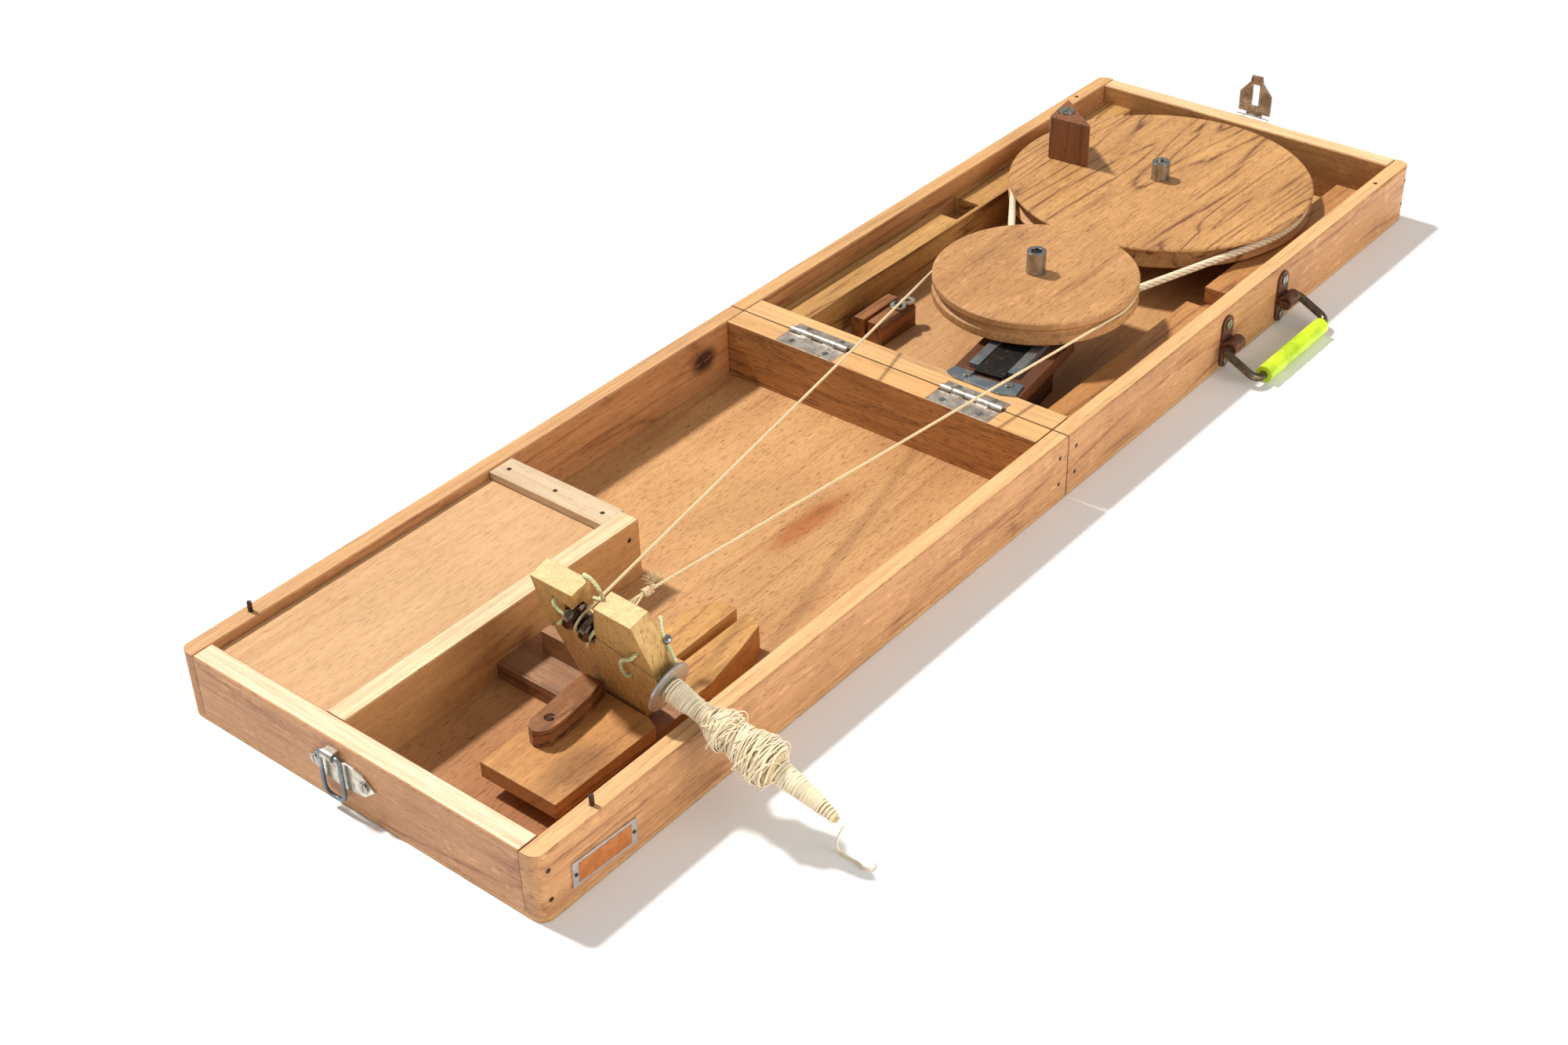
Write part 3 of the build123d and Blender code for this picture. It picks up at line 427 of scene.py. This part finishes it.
# ---- detailed pieces ------------------------------------------------------------------------
def curve_piece(name, lines, radius, mat, body, sides=3):
    data = bpy.data.curves.new(name, "CURVE")
    data.dimensions = "3D"
    data.bevel_depth = radius / 1000
    data.bevel_resolution = sides
    data.use_fill_caps = True
    data.resolution_u = 8
    for line in lines:
        spline = data.splines.new("NURBS")
        spline.points.add(len(line) - 1)
        for point, q in zip(spline.points, line):
            point.co = (*q, 1)
        spline.order_u = 3
        spline.use_endpoint_u = True
    data.materials.append(mat)
    o = bpy.data.objects.new(name, data)
    bpy.context.scene.collection.objects.link(o)
    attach(o, body)
    return o


def mesh_piece(name, verts, faces, mat, body, smooth=True):
    data = bpy.data.meshes.new(name)
    data.from_pydata([tuple(v) for v in verts], [], faces)
    data.update()
    for f in data.polygons:
        f.use_smooth = smooth
    data.materials.append(mat)
    o = bpy.data.objects.new(name, data)
    bpy.context.scene.collection.objects.link(o)
    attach(o, body)
    return o


def ring_faces(rows, cols):
    out = []
    for i in range(rows - 1):
        for j in range(cols):
            k = (j + 1) % cols
            out.append((i * cols + j, i * cols + k, (i + 1) * cols + k, (i + 1) * cols + j))
    return out


# Spindle line, in case millimetres.
WHORL = Vector((-307.4, -51.4, 70.4))
SPIN = Vector((0.026, -0.9585, -0.2838)).normalized()
SIDE_A = SPIN.cross(Vector((0, 0, 1))).normalized()
SIDE_B = SIDE_A.cross(SPIN).normalized()
COP = [(53.3, 5.5), (60, 5.1), (70, 4.2), (79, 5.0), (84, 7.4), (88, 8.2), (92, 6.4), (98, 7.2), (104, 9.6),
       (110, 9.8), (115, 8.6), (119, 5.2), (127, 4.7), (135, 3.9), (142, 3.2), (147, 2.5), (150, 2.1),
       (151.5, 1.2)]


def cop_radius(t):
    for (a, ra), (b, rb) in zip(COP, COP[1:]):
        if a <= t <= b:
            f = (t - a) / (b - a)
            f = f * f * (3 - 2 * f)
            return ra + (rb - ra) * f
    return COP[-1][1]


def cop_point(t, angle, lift=0.0):
    sag = max(0.0, t - 128) ** 2 * 0.0045
    r = cop_radius(t) + lift
    q = WHORL + SPIN * t + (SIDE_A * math.cos(angle) + SIDE_B * math.sin(angle)) * r
    q = q - Vector((0, 0, sag))
    return P(*q)


rows, cols = 420, 84
COP_START, COP_END = 53.3, 151.5
BULGE = (76, 118)
verts = []
for i in range(rows):
    t = COP_START + (COP_END - COP_START) * i / (rows - 1)
    loose = 1.0 if BULGE[0] < t < BULGE[1] else 0.35
    for j in range(cols):
        a = 2 * math.pi * j / cols
        wind = math.sin(2 * math.pi * t / 1.7 + a + 1.2 * math.sin(t * 0.21 + a * 2))
        cross = math.sin(2 * math.pi * t / 2.3 - 2 * a + 0.9 * math.sin(t * 0.11))
        lump = (0.55 * math.sin(t * 0.9 + 2 * a) * math.sin(t * 0.37 - a)
                + 0.4 * math.sin(t * 0.45 - 3 * a)) * loose
        verts.append(cop_point(t, a, 0.36 * wind + 0.16 * cross + lump))
faces = ring_faces(rows, cols)
faces.append(tuple(range(cols))[::-1])
faces.append(tuple((rows - 1) * cols + j for j in range(cols)))
# The cop body under the strands gets a darker copy of the wool: painted shade in the gaps between the
# strands.
WOOL_SHADED_CORE = fibre("wool_shaded_core", srgb(224, 202, 158), srgb(170, 142, 98), 2600)
cop = mesh_piece("cop_yarn", verts, faces, WOOL_SHADED_CORE, "spindle")
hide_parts("cop")


def winding(t, a, pitch, turns, lift, wander, low=54.0, high=149.5):
    line = []
    phase = random.uniform(0, 6.28)
    for i in range(int(turns * 22)):
        tt = t + pitch * i / 22 + wander * math.sin(i * 0.29 + phase)
        if not low < tt < high:
            break
        puff = 0.5 + 0.5 * math.sin(i * 0.23 + phase)
        line.append(cop_point(tt, a + i * 0.2856, 0.3 + lift * puff))
    return line


strands = [winding(random.uniform(54, 76), random.uniform(0, 6.28), random.uniform(0.9, 2.2),
                   random.uniform(2, 5), 0.15, 0.2, 54, 78) for k in range(16)]
strands += [winding(random.uniform(79, 114), random.uniform(0, 6.28), random.uniform(-2.5, 2.5),
                    random.uniform(1, 3), 1.9, 2.2, 77, 120) for k in range(54)]
strands += [winding(random.uniform(76, 96), random.uniform(0, 6.28), random.uniform(9, 22),
                    random.uniform(1.0, 2.2), 1.2, 1.0, 62, 132) for k in range(16)]
strands += [winding(random.uniform(118, 146), random.uniform(0, 6.28), random.uniform(0.9, 2.0),
                    random.uniform(2, 5), 0.1, 0.15, 117, 149.5) for k in range(16)]
strands.append(winding(54.5, 0.4, 1.55, 16, 0.25, 0.12, 54, 79))
strands.append(winding(116.5, 2.0, 1.75, 19, 0.3, 0.15, 116, 149.5))
strands.append(winding(56.5, 3.4, 2.6, 9, 0.5, 0.4, 54, 80))
curve_piece("cop_strands", [q for q in strands if len(q) > 5], 0.42, WOOL, "spindle", 1)
loops = []
for k in range(34):
    t, a = random.uniform(80, 117), random.uniform(0, 6.28)
    span, twist, rise = random.uniform(4, 12), random.uniform(0.3, 1.3), random.uniform(1.6, 4.6)
    loops.append([cop_point(t + span * (f - 0.5), a + twist * (f - 0.5) * 2,
                            0.2 + rise * math.sin(math.pi * f))
                  for f in (i / 9 for i in range(10))])
curve_piece("cop_loops", loops, 0.32, WOOL, "spindle", 1)
hairs = []
for k in range(620):
    t, a = random.choice((random.uniform(54, 150), random.uniform(78, 120))), random.uniform(0, 6.28)
    base = cop_point(t, a, 0.1)
    out = (cop_point(t, a, 2.0) - base).normalized()
    lean = Vector((random.uniform(-1, 1), random.uniform(-1, 1), random.uniform(-1, 1)))
    reach = random.uniform(0.8, 3.0) / 1000
    hairs.append([base, base + (out + lean * 0.5) * reach * 0.5, base + (out * 0.7 + lean) * reach])
curve_piece("cop_fuzz", hairs, 0.05, WOOL, "spindle", 0)

# Yarn tail: the free end that runs from the cop to the table.
TAIL = [(-303.6, -200.5, 25.0), (-300.0, -194.0, 13.0), (-298.2, -191.0, 1.0), (-299.2, -198.0, 0.7),
        (-298.4, -204.0, 0.7), (-300.8, -209.0, 0.7), (-297.0, -212.5, 0.7), (-293.8, -209.0, 0.7)]
tail = curve_piece("yarn_tail_line", [[P(*q) for q in TAIL]], 0.6, WOOL, "spindle_case", 3)
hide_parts("yarn_tail")


bpy.context.view_layer.update()
probe = tail.data.copy()
probe.bevel_depth = 0
probe_object = bpy.data.objects.new("probe", probe)
bpy.context.scene.collection.objects.link(probe_object)
bpy.context.view_layer.update()
line_mesh = probe_object.evaluated_get(bpy.context.evaluated_depsgraph_get()).to_mesh()
bpy.data.objects.remove(probe_object)

# Holder frame: s along its length, n through it, w up its face.
yaw, lean = math.radians(4), math.radians(16)
S_AX = Vector((-math.sin(yaw), -math.cos(yaw), 0))
H_AX = Vector((math.cos(yaw), -math.sin(yaw), 0))
N_AX = H_AX * math.cos(lean) + Vector((0, 0, math.sin(lean)))
W_AX = H_AX * -math.sin(lean) + Vector((0, 0, math.cos(lean)))
HOLD = Vector((-296.6, -57.5, 23.3))


def on_holder(s, n, w):
    return P(*(HOLD + S_AX * s + N_AX * n + W_AX * w))


ties = [
    [(-18.0, 3, 59.6), (-18.0, -0.8, 59.6), (-17.0, -2.2, 58.0), (-14.5, -2.4, 55.6), (-10.5, -2.2, 54.8),
     (-12.0, -2.4, 51.5), (-15.4, -2.4, 47.0), (-21.0, -2.0, 41.0)],
    [(33.5, 3, 52.2), (33.5, -1.2, 52.0), (29.9, -2.4, 48.0), (24.0, -2.6, 44.6), (20.4, -2.3, 39.5),
     (19.0, -2.0, 33.5), (20.0, -2.0, 30.0), (21.8, -1.4, 29.3), (21.8, 3, 29.3)],
    [(-14, 12.6, 60), (-6, 13.2, 70), (2.0, 8.0, 80.5), (7.5, 7.5, 81.5), (7.8, 9.0, 74.4), (5.6, 10.5, 66.0),
     (2.0, 12.6, 58.0), (-3, 13.4, 53.5), (-7.9, 13.4, 52.2)],
    [(44.0, 12.6, 72.0), (42.0, 13.6, 68), (39.5, 13.6, 62.5), (39.0, 13.2, 50.0), (39.2, 13.2, 42.0)],
    [(40.0, 13.3, 52.0), (44.6, 11.0, 47.0), (46.0, 10.5, 43.1), (44.4, 12.0, 37.0), (43.0, 13.0, 31.8)],
    [(6.3, -0.4, 51.5), (3.4, -1.4, 47.5), (0.3, -1.6, 43.0), (-2.5, -1.5, 38.5), (-4.6, -1.4, 34.6)],
]
tie_curves = curve_piece("holder_string_ties", [[on_holder(*q) for q in line] for line in ties], 0.95, STRING,
                         "holder", 3)
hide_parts("holder_ties")
pin_rows = [(0.0, 0.7), (0.0, 1.1), (8, 1.1), (9.5, 1.3), (10.2, 2.0), (11.3, 2.3), (12.6, 2.0), (13.3, 1.0),
            (13.4, 0.1)]
pin_at, pin_dir = HOLD + S_AX * 37.5 + N_AX * 13.6 + W_AX * 42, (S_AX * 0.28 + W_AX).normalized()
pin_a = pin_dir.cross(N_AX).normalized()
pin_b = pin_a.cross(pin_dir)
PIN_SIDES = 20
verts = []
for h, r in pin_rows:
    for j in range(PIN_SIDES):
        a = 2 * math.pi * j / PIN_SIDES
        verts.append(P(*(pin_at + pin_dir * h + (pin_a * math.cos(a) + pin_b * math.sin(a)) * r)))
mesh_piece("holder_eye_pin", verts, ring_faces(len(pin_rows), PIN_SIDES), STEEL, "holder")

# Knot of the drive cord with its loops and a frayed end.
run_far = Vector((113.0, -83.3, 52.0))
run_near = Vector((-302.0, -50.5, 65.5))
along = (run_far - run_near).normalized()
KNOT = Vector((-266.7, -53.5, 63.9))
k_side = along.cross(Vector((0, 0, 1))).normalized()
k_up = k_side.cross(along).normalized()


def at_knot(a, b, c):
    return P(*(KNOT + along * a + k_side * b + k_up * c))


WRAP_R = 1.75
wraps = []
for turn_no in range(3):
    line = []
    for i in range(25):
        ang = 2 * math.pi * i / 24
        line.append(at_knot(-2.0 + turn_no * 1.7 + i / 24 * 1.5,
                            WRAP_R * math.cos(ang), WRAP_R * math.sin(ang)))
    wraps.append(line)
wraps.append([at_knot(*q) for q in ((2.5, 0, 0.4), (4.5, 1.4, 1.8), (3.4, 2.0, 3.4), (0.5, 1.6, 2.0),
                                    (-2, 0, 0.6))])
wraps.append([at_knot(*q) for q in ((-2.2, 0, 0), (-6, 1.6, -0.8), (-11, 2.6, -2.6), (-13.5, 1.4, -3.2),
                                    (-11, -0.6, -2.0), (-6, -0.8, -0.8), (-2, -0.6, 0))])
wraps.append([at_knot(*q) for q in ((-2.2, 0.4, 0), (-7, 0.2, -2.6), (-10, -0.6, -5.0), (-7.5, -1.4, -4.0),
                                    (-3, -0.6, -1.2))])
wraps.append([at_knot(*q) for q in ((0.5, 0.4, 1.0), (1.2, 1.6, 3.0), (2.0, 2.4, 5.2), (2.6, 2.8, 7.0))])
knot = curve_piece("drive_cord_knot", wraps, 0.6, COTTON, "wheel_case", 2)
fray = []
for k in range(70):
    base = Vector((2.4, 2.7, 6.2))
    v = Vector((random.uniform(-1, 1), random.uniform(-1, 1), random.uniform(0.2, 1.2))).normalized()
    reach = random.uniform(3.0, 6.0)
    fray.append([at_knot(*base), at_knot(*(base + v * reach * 0.5)),
                 at_knot(*(base + v * reach + Vector((random.uniform(-1, 1),) * 3) * 0.8))])
curve_piece("drive_cord_fray", fray, 0.11, COTTON, "wheel_case", 0)

# Plain coloured field of the name plate.
PLATE_X, CASE_SIDE_Y, PLATE_Z = -373.3, -120, 14.6
tilt = math.radians(3.5)
corners = [(x, y, z) for x in (-17, 17) for y in (-1.1, -0.9) for z in (-5.5, 5.5)]
verts = [P(PLATE_X + x * math.cos(tilt) + z * math.sin(tilt), CASE_SIDE_Y + y,
           PLATE_Z - x * math.sin(tilt) + z * math.cos(tilt)) for x, y, z in corners]
faces = [(0, 1, 3, 2), (4, 6, 7, 5), (0, 4, 5, 1), (2, 3, 7, 6), (0, 2, 6, 4), (1, 5, 7, 3)]
FIELD = metal("plate_field", srgb(206, 130, 66), 0.4, 0.5, srgb(184, 108, 50), 260)
mesh_piece("name_plate_field", verts, faces, FIELD, "spindle_case", False)
